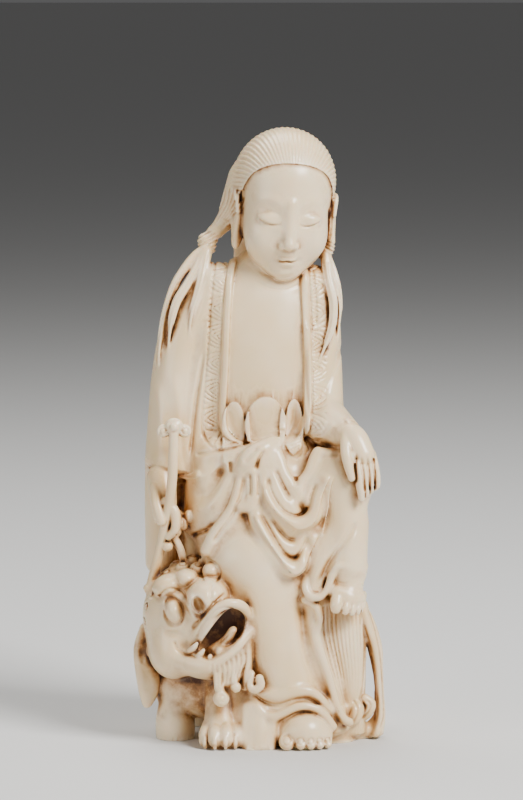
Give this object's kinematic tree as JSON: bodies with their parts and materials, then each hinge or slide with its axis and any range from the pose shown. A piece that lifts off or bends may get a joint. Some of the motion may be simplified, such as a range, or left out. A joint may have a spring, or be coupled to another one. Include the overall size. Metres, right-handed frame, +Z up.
{
  "type": "carved ivory figure seated on a lion",
  "caption": "One-piece carved ivory figure in robes, seated at ease on a recumbent mythical lion and holding a sceptre.",
  "frame": {"origin": "under the middle of the carving, on the surface it stands on", "axes": "+Z up, -Y to the front that the figure faces, +X to the right of someone who looks at the front"},
  "size_m": [0.0953, 0.085, 0.234],
  "materials": {
    "ivory": "carved and polished elephant ivory, aged cream with tan and brown in the recesses"
  },
  "bodies": {
    "root": {"manjushri_on_lion": "ivory"}
  },
  "joints": []
}
